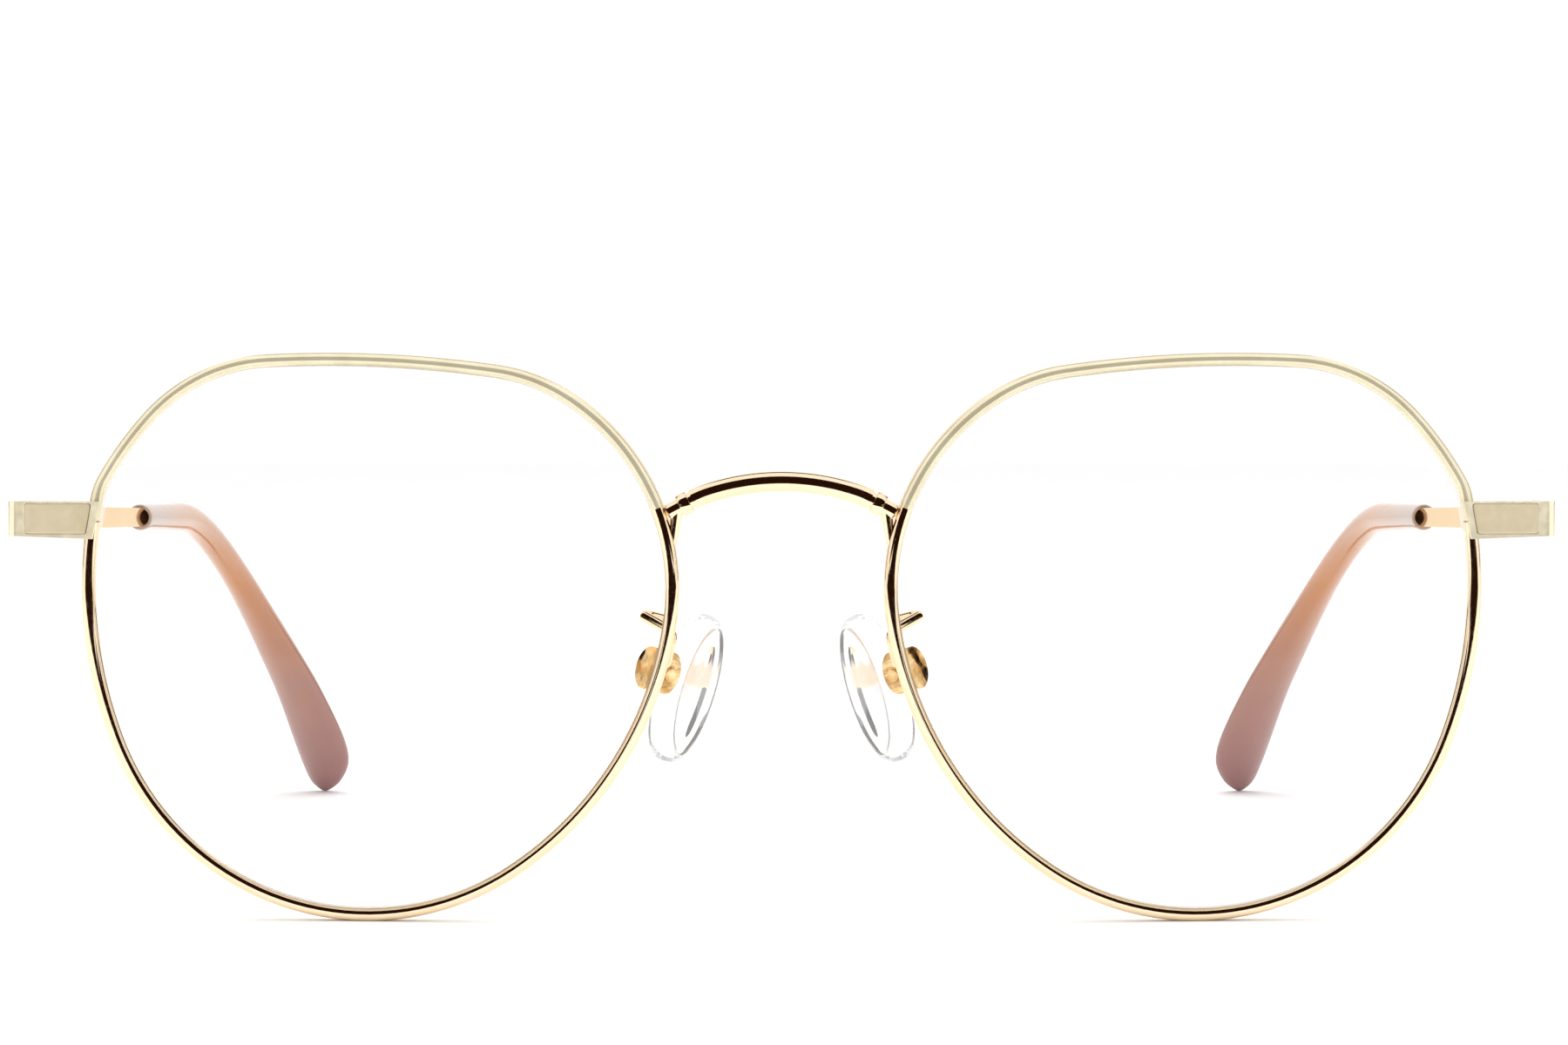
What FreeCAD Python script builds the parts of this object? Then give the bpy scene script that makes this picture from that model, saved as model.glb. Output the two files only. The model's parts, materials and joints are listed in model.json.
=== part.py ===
import FreeCAD, Part
import math
import os

# Round wire eyeglasses, in millimetres. X runs to the right along the front, Y runs back along the
# temples, and Z is up. The glasses stand on the lowest points of the two rims and of the two temple tips.
# Everything is modelled for the left (-X) side; the right side is its mirror image in the plane X = 0.
# While modelling, Y = 0 is the middle of the rims at floor level. The finished pieces move by front_y,
# which puts the origin in the middle of the footprint.

V = FreeCAD.Vector
FRONT = V(0, -1, 0)
BACK = V(0, 1, 0)
UP = V(0, 0, 1)

# Driving dimensions of the whole
front_y = -65.0
rims_apart = 18.2
wrap_deg = 4.0
tilt_deg = 2.0

# Rim outline, seen from the front: arcs in turn from the nose side over the top, each (radius, degrees).
# The last two radii come from the outline having to close.
outline_start_deg = -8.0
free_arcs = [
    (20.8, 67.0),  # nose side
    (16.3, 23.0),  # nose corner
    (109.0, 11.0),  # brow
    (16.4, 44.0),  # crown corner
    (32.0, 13.0),  # slope from the crown to the temple
    (6.2, 18.0),  # temple corner
    (40.0, 32.0),  # temple side
]
closing_sweeps = [104.0, 48.0]  # lower temple side, lower nose side

# Rim section
rim_width = 1.15
rim_half_depth = 0.95
rim_shoulder = 0.5
groove_depth = 0.42
groove_half_width = 0.42
split_gap = 0.16

# Enamel on the rim
enamel_gap = 0.015
enamel_height = 0.12
enamel_low_z = 37.6
enamel_end_z = 36.35

# Lens
lens_radius = 130.0
lens_thickness = 1.5
lens_clearance = 0.05
mean_edge_radius = 25.5
bevel_clearance = 0.04

# Bridge
bridge_top_z = 39.8
bridge_y = -2.0
bridge_wire_radius = 0.88
bridge_arcs = [(21.0, 18.0), (9.0, 10.0)]
collar_radius = 1.0
collar_length = 0.95
neck_radius = 0.72
neck_length = 0.33
foot_length = 3.1
foot_top_radius = 0.62
foot_low_radius = 0.3
foot_inset = 0.15
stub_length = 1.3

# End piece and hinge
corner_x = -69.75
hinge_x = -67.6
hinge_y = 7.0
hinge_z = 36.2
plate_inner_x = -61.0
plate_inner_y = -1.15
plate_corner_y = -0.3
plate_thickness = 1.1
plate_top = 1.66
plate_low_at_corner = -1.42
plate_low_at_rim = -1.72
wall_thickness = 1.0
endpiece_back_y = 6.65
field_left_x = -68.1
field_right_x = (-62.1, -62.6)  # at its top and at its foot
plate_past_field = (0.8, 0.6)
field_top = 1.46
field_low = -1.24
field_proud = 0.06
field_thickness = 0.29
pocket_depth = 0.26
knuckle_radius = 1.05
knuckle_half_gap = 0.45
knuckle_clearance = 0.05
hinge_half_height = 1.15
leaf_thickness = 0.8
pin_radius = 0.5
pin_clearance = 0.04
pin_head_radius = 0.85
pin_head_height = 0.3

# Closing blocks of the rim, behind the end piece
lock_low_x = -65.0
lock_high_x = -62.0
lock_low_y = -0.1
lock_high_y = 3.1
lock_half_gap = 0.1
lock_half_height = 1.35
lock_screw_x = -63.75
lock_screw_y = 2.05
lock_hole_radius = 0.62
lock_screw_radius = 0.6
lock_head_radius = 0.95
lock_head_height = 0.5

# Temple
arm_thickness = 0.9
arm_start_y = 6.75
arm_x = -69.3
temple_corner = V(-64.4, 110.9, 33.6)
temple_end = V(-53.6, 134.0, 0.66)
temple_bend_radius = 50.0
mouth_y = 61.5
core_radius = 0.62
core_clearance = 0.03
core_short_of_end = 14.0
socket_radius = 1.12
socket_length = 7.6
ring_length = 1.1
ring_radius = 0.9
tip_twist_deg = 58.0

# Nose pad
pad_pivot = V(-11.3, 8.2, 22.1)
pad_lean_deg = 17.3
pad_splay_deg = 33.0
pad_wire_radius = 0.52
pad_half_sizes = (7.1, 3.9, 1.4)
pad_rounding = 1.15
pad_offset = 3.35
pad_drop = 0.9
box_radius = 2.0
box_bore = 1.45
box_bottom = -1.3
box_mouth = 1.1
box_floor = 0.3
lug_half_width = 0.6
lug_end_radius = 0.75
screw_radius = 0.35
screw_head_radius = 0.62


def radians_cos_sin(degrees):
    angle = math.radians(degrees)
    return math.cos(angle), math.sin(angle)


def outward(degrees):
    """Direction in the front's plane at this angle, counted from +X towards +Z."""
    cos, sin = radians_cos_sin(degrees)
    return V(cos, 0, sin)


def fused(shapes):
    """One solid from pieces that meet or overlap."""
    if len(shapes) == 1:
        return shapes[0]
    return shapes[0].multiFuse(shapes[1:]).removeSplitter()


def largest_solid(shape):
    return max(shape.Solids, key=lambda solid: solid.Volume)


def polygon_face(points):
    return Part.Face(Part.makePolygon(points + points[:1]))


def box_between(low, high):
    size = high - low
    return Part.makeBox(size.x, size.y, size.z, low)


def arc_edge(start, middle, end):
    return Part.Arc(start, middle, end).toShape()


def line_edge(start, end):
    return Part.LineSegment(start, end).toShape()


def corner_arc(before, corner, after, radius):
    """Start, middle and end of the arc that rounds a corner."""
    to_before = (before - corner).normalize()
    to_after = (after - corner).normalize()
    half = to_before.getAngle(to_after) / 2
    bisector = (to_before + to_after).normalize()
    centre = corner + bisector * (radius / math.sin(half))
    reach = radius / math.tan(half)
    return corner + to_before * reach, centre - bisector * radius, corner + to_after * reach


def rounded_outline(points, radii):
    """Closed wire through points in one plane, with each corner rounded to its own radius (0 for sharp)."""
    count = len(points)
    corners = []
    for i in range(count):
        if radii[i] > 0:
            corners.append(corner_arc(points[i - 1], points[i], points[(i + 1) % count], radii[i]))
        else:
            corners.append((points[i], None, points[i]))
    edges = []
    for i in range(count):
        start, middle, end = corners[i]
        if middle is not None:
            edges.append(arc_edge(start, middle, end))
        edges.append(line_edge(end, corners[(i + 1) % count][0]))
    return Part.Wire(edges)


def rounded_path(points, radii):
    """Open path of straight runs with an arc of the given radius at each inner point."""
    edges = []
    here = points[0]
    for i in range(1, len(points) - 1):
        start, middle, end = corner_arc(points[i - 1], points[i], points[i + 1], radii[i - 1])
        edges.append(line_edge(here, start))
        edges.append(arc_edge(start, middle, end))
        here = end
    edges.append(line_edge(here, points[-1]))
    return Part.Wire(edges)


def tube(path, radius):
    """Round bar along a path of lines and tangent arcs."""
    first = path.Edges[0]
    start = first.valueAt(first.FirstParameter)
    direction = first.tangentAt(first.FirstParameter)
    circle = Part.Wire([Part.makeCircle(radius, start, direction)])
    return path.makePipeShell([circle], True, False)


class Arc:
    """One arc of the rim's outline. Angles are those of the outward normal."""

    def __init__(self, start_point, start_deg, radius, sweep):
        self.start = start_deg
        self.end = start_deg + sweep
        self.radius = radius
        self.centre = start_point - outward(start_deg) * radius

    def point(self, degrees, inset=0.0):
        return self.centre + outward(degrees) * (self.radius - inset)


def closing_radii(free, sweeps, start_deg):
    """Radii of the last two arcs, which bring the outline back to its first point."""
    angle = start_deg
    gap = V(0, 0, 0)
    for radius, sweep in free:
        gap -= (outward(angle + sweep) - outward(angle)) * radius
        angle += sweep
    first = outward(angle + sweeps[0]) - outward(angle)
    second = outward(angle + sweeps[0] + sweeps[1]) - outward(angle + sweeps[0])
    det = first.x * second.z - first.z * second.x
    radius_a = (gap.x * second.z - gap.z * second.x) / det
    radius_b = (first.x * gap.z - first.z * gap.x) / det
    return radius_a, radius_b


def make_outline():
    """Arcs of the left rim's outer edge, resting on the floor with its nose side at its place."""
    last = closing_radii(free_arcs, closing_sweeps, outline_start_deg)
    whole = free_arcs + list(zip(last, closing_sweeps))
    arcs = []
    point = V(0, 0, 0)
    angle = outline_start_deg
    for radius, sweep in whole:
        arcs.append(Arc(point, angle, radius, sweep))
        angle += sweep
        point = arcs[-1].point(angle)
    nose_most = arcs[0].point(0.0).x
    lowest = next(arc.point(270.0).z for arc in arcs if arc.start <= 270.0 <= arc.end)
    for arc in arcs:
        arc.centre += V(-rims_apart / 2 - nose_most, 0, -lowest)
    return arcs


OUTLINE = make_outline()


def outline_point(degrees, inset=0.0):
    """Point of the outline where the outward normal has this angle."""
    for arc in OUTLINE:
        for turn in (0.0, 360.0):
            if arc.start <= degrees + turn <= arc.end:
                return arc.point(degrees + turn, inset)
    raise ValueError("angle outside the outline")


def angle_at_height(z, low_deg, high_deg):
    """Normal angle between two limits where the outline passes height z."""
    rising = outline_point(high_deg).z > outline_point(low_deg).z
    for _ in range(50):
        middle = (low_deg + high_deg) / 2
        if (outline_point(middle).z < z) == rising:
            low_deg = middle
        else:
            high_deg = middle
    return (low_deg + high_deg) / 2


RIM_MIDDLE = V((outline_point(0).x + outline_point(180).x) / 2, 0, outline_point(90).z / 2)


def tilt(shape):
    """Leans a piece of the front forwards at the top."""
    return shape.rotated(V(0, 0, 0), V(1, 0, 0), tilt_deg)


def wrap(shape):
    """Turns a rim, or what is in it, back towards the temple, then leans it forwards."""
    return tilt(shape.rotated(RIM_MIDDLE, UP, -wrap_deg))


def outline_wire(inset):
    """The outline moved inwards, as a closed wire in the plane y = 0."""
    edges = []
    for arc in OUTLINE:
        middle = (arc.start + arc.end) / 2
        points = [arc.point(angle, inset) for angle in (arc.start, middle, arc.end)]
        edges.append(arc_edge(*points))
    return Part.Wire(edges)


def along_outline(section, first_deg=None, last_deg=None):
    """Carries a section along the outline. section(place) makes its face from points place(inset, y)."""
    first = outline_start_deg if first_deg is None else first_deg
    last = outline_start_deg + 360.0 if last_deg is None else last_deg
    pieces = []
    for arc in OUTLINE:
        start = max(arc.start, first)
        end = min(arc.end, last)
        if end - start < 0.01:
            continue
        face = section(lambda inset, y: arc.point(start, inset) + V(0, y, 0))
        pieces.append(face.revolve(arc.centre, FRONT, end - start))
    return fused(pieces)


def rim_section(place):
    """Half-round front and back, flat outside, V groove inside."""
    middle = rim_width / 2
    edges = [
        arc_edge(
            place(rim_width, -rim_shoulder), place(middle, -rim_half_depth), place(0, -rim_shoulder)
        ),
        line_edge(place(0, -rim_shoulder), place(0, rim_shoulder)),
        arc_edge(place(0, rim_shoulder), place(middle, rim_half_depth), place(rim_width, rim_shoulder)),
        line_edge(place(rim_width, rim_shoulder), place(rim_width, groove_half_width)),
        line_edge(place(rim_width, groove_half_width), place(rim_width - groove_depth, 0)),
        line_edge(place(rim_width - groove_depth, 0), place(rim_width, -groove_half_width)),
        line_edge(place(rim_width, -groove_half_width), place(rim_width, -rim_shoulder)),
    ]
    return Part.Face(Part.Wire(edges))


def enamel_section(place):
    """Thin layer that follows the rim's half-round front and ends blunt at both edges."""
    middle = rim_width / 2
    edge = rim_shoulder + enamel_gap
    crest = rim_half_depth + enamel_gap
    outer_edge = edge + 0.05
    outer_crest = crest + enamel_height
    edges = [
        arc_edge(place(rim_width, -edge), place(middle, -crest), place(0, -edge)),
        line_edge(place(0, -edge), place(0, -outer_edge)),
        arc_edge(place(0, -outer_edge), place(middle, -outer_crest), place(rim_width, -outer_edge)),
        line_edge(place(rim_width, -outer_edge), place(rim_width, -edge)),
    ]
    return Part.Face(Part.Wire(edges))


def bevel_section(place):
    """The lens's V edge, with a root that reaches into the lens."""
    apex = rim_width - groove_depth + bevel_clearance
    base = rim_width + lens_clearance / 2
    root = rim_width + 1.0
    half = groove_half_width - bevel_clearance
    return polygon_face([
        place(apex, 0),
        place(base, half),
        place(root, half - 0.1),
        place(root, 0.1 - half),
        place(base, -half),
    ])


def make_rim():
    ring = along_outline(rim_section)
    split_angle = angle_at_height(hinge_z, 150.0, 185.0)
    split = outline_point(split_angle)
    cutter = box_between(
        V(split.x - 2, -3, split.z - split_gap / 2), V(split.x + 3, 3, split.z + split_gap / 2)
    )
    return wrap(ring.cut(cutter))


def make_rim_enamel():
    first = angle_at_height(enamel_low_z, 0.0, 60.0)
    last = angle_at_height(enamel_end_z, 150.0, 185.0)
    return wrap(along_outline(enamel_section, first, last))


def make_lens():
    edge_inset = rim_width + lens_clearance
    blank = Part.Face(outline_wire(edge_inset)).extrude(V(0, 16, 0))
    blank.translate(V(0, -8, 0))
    sag = mean_edge_radius ** 2 / (2 * lens_radius)
    centre = RIM_MIDDLE + V(0, lens_radius - sag - lens_thickness / 2, 0)
    front = Part.makeSphere(lens_radius, centre)
    back = Part.makeSphere(lens_radius - lens_thickness, centre)
    body = blank.common(front).cut(back)
    body = max(body.Solids, key=lambda solid: -solid.CenterOfMass.y)
    return wrap(fused([body, along_outline(bevel_section)]))


def bar(start, direction, length, radius):
    return Part.makeCylinder(radius, length, start, direction)


def make_bridge(rims):
    """Arched round bar. Beyond each end of the arch are a neck, a collar and a foot down the rim."""
    top = V(0, bridge_y, bridge_top_z)
    half = []
    point = top
    angle = 90.0
    for radius, sweep in bridge_arcs:
        centre = point - outward(angle) * radius
        circle = Part.makeCircle(bridge_wire_radius, point, outward(angle + 90.0))
        disc = Part.Face(Part.Wire([circle]))
        half.append(disc.revolve(centre, FRONT, sweep))
        angle += sweep
        point = centre + outward(angle) * radius
    along = outward(angle + 90.0)
    half.append(bar(point, along, neck_length, neck_radius))
    point += along * neck_length
    half.append(bar(point, along, collar_length, collar_radius))
    point += along * collar_length
    half.append(bar(point, along, stub_length, neck_radius))
    half.append(bridge_foot(point + along * neck_length))
    left = fused(half)
    whole = fused([left, left.mirror(V(0, 0, 0), V(1, 0, 0))])
    whole = tilt(whole)
    for rim in rims:
        whole = whole.cut(rim)
    return largest_solid(whole)


def bridge_foot(top):
    """Tapered prong from the bridge's end down the nose side of the rim."""
    low_angle = angle_at_height(top.z - foot_length, 0.0, 60.0)
    low = outline_point(low_angle, foot_inset) + V(0, bridge_y, 0)
    direction = (low - top).normalize()
    prong = Part.makeCone(foot_top_radius, foot_low_radius, (low - top).Length, top, direction)
    ball_top = Part.makeSphere(foot_top_radius, top)
    ball_low = Part.makeSphere(foot_low_radius, low)
    return fused([prong, ball_top, ball_low])


def make_endpiece(rim, enamel):
    """Plate that laps over the rim's outer half, runs outwards, and turns the corner to the hinge."""
    inner_x = corner_x + wall_thickness
    points = [
        V(plate_inner_x, plate_inner_y, 0),
        V(corner_x, plate_corner_y, 0),
        V(corner_x, endpiece_back_y, 0),
        V(inner_x, endpiece_back_y, 0),
        V(inner_x, plate_corner_y + plate_thickness, 0),
        V(plate_inner_x, plate_inner_y + plate_thickness, 0),
    ]
    top_view = Part.Face(rounded_outline(points, [0, 1.1, 0.3, 0.1, 0.5, 0]))
    block = top_view.extrude(UP * 8)
    block.translate(UP * (hinge_z - 4))
    front_view = polygon_face([
        V(corner_x - 1, -3, hinge_z + plate_top),
        V(field_right_x[0] + plate_past_field[0], -3, hinge_z + plate_top),
        V(field_right_x[1] + plate_past_field[1], -3, hinge_z + plate_low_at_rim),
        V(corner_x - 1, -3, hinge_z + plate_low_at_corner),
    ]).extrude(BACK * 12)
    plate = block.common(front_view).cut(rim).cut(enamel)
    return largest_solid(plate)


def endpiece_field(grow, front, depth):
    """Prism with the outline of the enamel field; its front lies this far before the plate's."""
    slope = (plate_corner_y - plate_inner_y) / (plate_inner_x - corner_x)

    def at(x, z):
        return V(x, plate_inner_y + (plate_inner_x - x) * slope - front, hinge_z + z)

    points = [
        at(field_left_x - grow, field_top + grow),
        at(field_left_x - grow, field_low - grow),
        at(field_right_x[1] + grow, field_low - grow),
        at(field_right_x[0] + grow, field_top + grow),
    ]
    normal = (points[1] - points[0]).cross(points[3] - points[0]).normalize()
    if normal.y < 0:
        normal = normal * -1
    return Part.Face(rounded_outline(points, [0.25] * 4)).extrude(normal * depth)


def make_rim_lock(rim, endpiece):
    """Upper and lower closing blocks behind the end piece, and the screw that draws them together."""
    axis = V(lock_screw_x, lock_screw_y, hinge_z)
    upper = box_between(
        V(lock_low_x, lock_low_y, hinge_z + lock_half_gap),
        V(lock_high_x, lock_high_y, hinge_z + lock_half_height),
    )
    lower = box_between(
        V(lock_low_x, lock_low_y, hinge_z - lock_half_height),
        V(lock_high_x, lock_high_y, hinge_z - lock_half_gap),
    )
    seat = lock_head_height - lock_half_height
    through = Part.makeCylinder(lock_hole_radius, 3 + lock_half_height - 0.3, axis - UP * 3, UP)
    counterbore = Part.makeCylinder(lock_head_radius + 0.03, 2, axis + UP * (seat - 2), UP)
    upper = upper.cut(rim).cut(endpiece).cut(through)
    lower = lower.cut(rim).cut(endpiece).cut(through).cut(counterbore)
    head = Part.makeCylinder(lock_head_radius, lock_head_height - 0.03, axis - UP * lock_half_height, UP)
    stem = Part.makeCylinder(lock_screw_radius, lock_half_height - 0.4 - seat, axis + UP * (seat - 0.05), UP)
    slot = box_between(
        axis + V(-1, -0.12, -lock_half_height - 1), axis + V(1, 0.12, 0.25 - lock_half_height)
    )
    return largest_solid(upper), largest_solid(lower), fused([head, stem]).cut(slot)


def knuckle(low, high):
    return Part.makeCylinder(knuckle_radius, high - low, V(hinge_x, hinge_y, low), UP)


def pin_hole():
    return Part.makeCylinder(pin_radius + pin_clearance, 8, V(hinge_x, hinge_y, hinge_z - 4), UP)


def make_hinge_front():
    """Leaf on the end piece with an upper and a lower knuckle."""
    leaf_x = corner_x + wall_thickness
    leaf = box_between(
        V(leaf_x, hinge_y - 4.6, hinge_z - hinge_half_height + 0.1),
        V(leaf_x + leaf_thickness, hinge_y - 1.4, hinge_z + hinge_half_height - 0.1),
    )
    pieces = [leaf]
    for side in (-1, 1):
        low = hinge_z + min(side * knuckle_half_gap, side * hinge_half_height)
        high = hinge_z + max(side * knuckle_half_gap, side * hinge_half_height)
        pieces.append(knuckle(low, high))
        web_low = V(leaf_x + 0.05, hinge_y - 1.9, low)
        web_high = V(hinge_x + 0.5, hinge_y - 0.2, high)
        pieces.append(box_between(web_low, web_high))
    return fused(pieces).cut(pin_hole())


def make_hinge_temple(arm):
    """Leaf on the temple arm with the middle knuckle."""
    half = knuckle_half_gap - knuckle_clearance
    leaf_x = arm_x + arm_thickness / 2 - 0.2
    leaf = box_between(
        V(leaf_x, hinge_y + 1.4, hinge_z - hinge_half_height + 0.05),
        V(leaf_x + leaf_thickness + 0.3, hinge_y + 5.6, hinge_z + hinge_half_height - 0.05),
    )
    web = box_between(
        V(leaf_x + 0.1, hinge_y + 0.2, hinge_z - half),
        V(hinge_x + 0.5, hinge_y + 1.9, hinge_z + half),
    )
    return fused([leaf, web, knuckle(hinge_z - half, hinge_z + half)]).cut(pin_hole()).cut(arm)


def make_hinge_screw():
    """Pin through the three knuckles, with a slotted head on the upper one."""
    top = V(hinge_x, hinge_y, hinge_z + hinge_half_height)
    length = 2 * hinge_half_height
    shaft = Part.makeCylinder(pin_radius, length, top - UP * (length - 0.1), UP)
    head = Part.makeCylinder(pin_head_radius, pin_head_height, top + UP * 0.02, UP)
    slot = box_between(top + V(-1, -0.1, 0.6 * pin_head_height), top + V(1, 0.1, 1))
    return fused([shaft, head]).cut(slot)


ARM_START = V(arm_x, arm_start_y, hinge_z)
ARM_DIRECTION = (temple_corner - ARM_START).normalize()
ARM_SIDE = ARM_DIRECTION.cross(UP).normalize()
ARM_UP = ARM_SIDE.cross(ARM_DIRECTION).normalize()


def arm_point(along, up=0.0, inwards=0.0):
    """Point from the arm's front end; inwards is towards the head."""
    return ARM_START + ARM_DIRECTION * along + ARM_UP * up + ARM_SIDE * inwards


MOUTH = (mouth_y - arm_start_y) / ARM_DIRECTION.y
ARM_END = MOUTH + socket_length - ring_length - 0.1


BACK_DIRECTION = (temple_end - temple_corner).normalize()


def temple_path(start_along, short_of_end=0.0):
    """Centre line of the temple from a point on the straight arm round the bend to the tip's end."""
    points = [arm_point(start_along), temple_corner, temple_end - BACK_DIRECTION * short_of_end]
    return rounded_path(points, [temple_bend_radius])


def temple_point(distance):
    """Point and direction on the centre line, at a distance from the tip's mouth."""
    turn = ARM_DIRECTION.getAngle(BACK_DIRECTION)
    reach = temple_bend_radius * math.tan(turn / 2)
    first_run = (temple_corner - arm_point(MOUTH)).Length - reach
    if distance <= first_run:
        return arm_point(MOUTH + distance), ARM_DIRECTION
    bend_start = temple_corner - ARM_DIRECTION * reach
    axis = ARM_DIRECTION.cross(BACK_DIRECTION).normalize()
    to_centre = axis.cross(ARM_DIRECTION)
    angle = min((distance - first_run) / temple_bend_radius, turn)
    ahead = ARM_DIRECTION * math.cos(angle) + to_centre * math.sin(angle)
    sideways = to_centre * (1 - math.cos(angle)) + ARM_DIRECTION * math.sin(angle)
    straight_on = distance - first_run - angle * temple_bend_radius
    return bend_start + sideways * temple_bend_radius + ahead * straight_on, ahead


def make_temple_arm():
    """Flat bar, deeper at the hinge, that ends in a round core wire."""
    half = arm_thickness / 2
    side_view = [
        (0.0, 1.35),
        (9.0, 1.35),
        (28.0, 1.03),
        (ARM_END, 0.95),
    ]
    points = [arm_point(along, up, -half) for along, up in side_view]
    points += [arm_point(along, -up, -half) for along, up in reversed(side_view)]
    radii = [0.3, 30.0, 30.0, 0.25, 0.25, 30.0, 30.0, 0.3]
    flat = Part.Face(rounded_outline(points, radii)).extrude(ARM_SIDE * arm_thickness)
    core = tube(temple_path(ARM_END - 1.5, core_short_of_end), core_radius)
    return fused([flat, core])


def tip_section(centre, tangent, across, half_tall, half_thick, twist_deg):
    """Ellipse square to the path. across is the side direction before the twist."""
    tall = tangent.cross(across).normalize()
    cos, sin = radians_cos_sin(twist_deg)
    long_axis = tall * cos + across * sin
    short_axis = across * cos - tall * sin
    major, minor = half_tall, half_thick
    if major < minor:
        long_axis, short_axis = short_axis, long_axis
        major, minor = minor, major
    ellipse = Part.Ellipse(centre + long_axis * major, centre + short_axis * minor, centre)
    return Part.Wire([ellipse.toShape()])


# Tip sections: (part of the length, half height, half thickness, part of the twist, shift to the head)
TIP_SECTIONS = [
    (0.0, 1.34, 1.28, 0.0, 0.0),
    (0.09, 1.38, 1.28, 0.0, 0.0),
    (0.28, 1.55, 1.36, 0.0, -0.1),
    (0.50, 1.9, 1.52, 0.22, -0.35),
    (0.65, 2.45, 1.65, 0.6, -0.33),
    (0.75, 2.85, 1.7, 0.83, -0.08),
    (0.83, 3.15, 1.7, 0.95, 0.25),
    (0.915, 3.5, 1.7, 1.0, 0.2),
    (0.955, 3.25, 1.55, 1.0, -0.15),
    (0.985, 2.1, 1.1, 1.0, -0.95),
    (1.0, 0.7, 0.4, 1.0, -1.45),
]


def side_of_bend():
    """Sideways direction, towards the head, square to the temple's plane of bending."""
    side = ARM_DIRECTION.cross(BACK_DIRECTION).normalize()
    return side if side.x > 0 else side * -1


def make_temple_tip():
    """Slim round collar that swells into a flat paddle, turned so its broad side faces the head."""
    length = temple_path(MOUTH).Length
    across = side_of_bend()
    wires = []
    for part, tall, thick, twisted, shift in TIP_SECTIONS:
        point, tangent = temple_point(part * length)
        centre = point + across * shift
        wires.append(tip_section(centre, tangent, across, tall, thick, twisted * tip_twist_deg))
    body = Part.makeLoft(wires, True, False)
    bore = tube(temple_path(MOUTH + 0.5, core_short_of_end - 0.1), core_radius + core_clearance)
    socket = Part.makeCylinder(socket_radius, socket_length + 1, arm_point(MOUTH - 1), ARM_DIRECTION)
    return body.cut(bore).cut(socket)


def make_tip_ring():
    """Dark ring on the core wire, against the end of the flat bar."""
    start = arm_point(ARM_END + 0.05)
    ring = Part.makeCylinder(ring_radius, ring_length - 0.05, start, ARM_DIRECTION)
    hole = Part.makeCylinder(core_radius + core_clearance, 6, arm_point(ARM_END - 2), ARM_DIRECTION)
    return ring.cut(hole)


def pad_axes():
    """Pad's directions: up its length, across its width, and towards the nose."""
    lean = math.tan(math.radians(pad_lean_deg))
    cos, sin = radians_cos_sin(pad_splay_deg)
    nose = V(cos, sin, -cos * lean).normalize()
    length = V(lean, 0, 1).normalize()
    width = length.cross(nose).normalize() * -1
    return length, width, nose


PAD_LENGTH, PAD_WIDTH, PAD_NOSE = pad_axes()


def pad_point(length=0.0, width=0.0, nose=0.0):
    """Point from the pad's screw, in the pad's own directions."""
    return pad_pivot + PAD_LENGTH * length + PAD_WIDTH * width + PAD_NOSE * nose


def pad_block(low, high):
    """Box in the pad's own directions."""
    corner = pad_point(*low)
    size = [high[i] - low[i] for i in range(3)]
    base = polygon_face([
        corner,
        corner + PAD_LENGTH * size[0],
        corner + PAD_LENGTH * size[0] + PAD_WIDTH * size[1],
        corner + PAD_WIDTH * size[1],
    ])
    return base.extrude(PAD_NOSE * size[2])


def oval(centre, half_length, half_width, half_nose):
    """Flat-faced oval in the pad's own directions."""
    low = centre - PAD_NOSE * half_nose
    ellipse = Part.Ellipse(low + PAD_LENGTH * half_length, low + PAD_WIDTH * half_width, low)
    return Part.Face(Part.Wire([ellipse.toShape()])).extrude(PAD_NOSE * (2 * half_nose))


def make_pad_box():
    """Round cup, open towards the nose, drilled across for the screw."""
    depth = box_mouth - box_bottom
    cup = Part.makeCylinder(box_radius, depth, pad_point(nose=box_bottom), PAD_NOSE)
    bore = Part.makeCylinder(box_bore, depth, pad_point(nose=box_bottom + box_floor), PAD_NOSE)
    screw_hole = Part.makeCylinder(screw_radius + 0.02, 8, pad_point(width=-4), PAD_WIDTH)
    return cup.cut(bore).cut(screw_hole)


def make_pad_screw():
    """Screw across the cup, with its head outside."""
    stem = Part.makeCylinder(screw_radius, 2 * box_radius + 0.1, pad_point(width=-box_radius), PAD_WIDTH)
    head = Part.makeCylinder(screw_head_radius, 0.35, pad_point(width=box_radius + 0.02), PAD_WIDTH)
    return fused([stem, head])


def make_pad_insert():
    """Oval plate inside the silicone, with a lug whose round end turns on the screw."""
    plate = oval(pad_point(length=-pad_drop / 2, nose=pad_offset), 3.6, 1.9, 0.25)
    eye = Part.makeCylinder(lug_end_radius, 2 * lug_half_width, pad_point(width=-lug_half_width), PAD_WIDTH)
    neck = pad_block((-0.7, -lug_half_width, 0), (0.7, lug_half_width, pad_offset))
    hole = Part.makeCylinder(screw_radius + 0.05, 4, pad_point(width=-2), PAD_WIDTH)
    return fused([plate, eye, neck]).cut(hole)


def make_nose_pad(insert):
    blank = oval(pad_point(length=-pad_drop, nose=pad_offset), *pad_half_sizes)
    rims = [edge for edge in blank.Edges if isinstance(edge.Curve, Part.Ellipse)]
    return blank.makeFillet(pad_rounding, rims).cut(insert)


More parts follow.
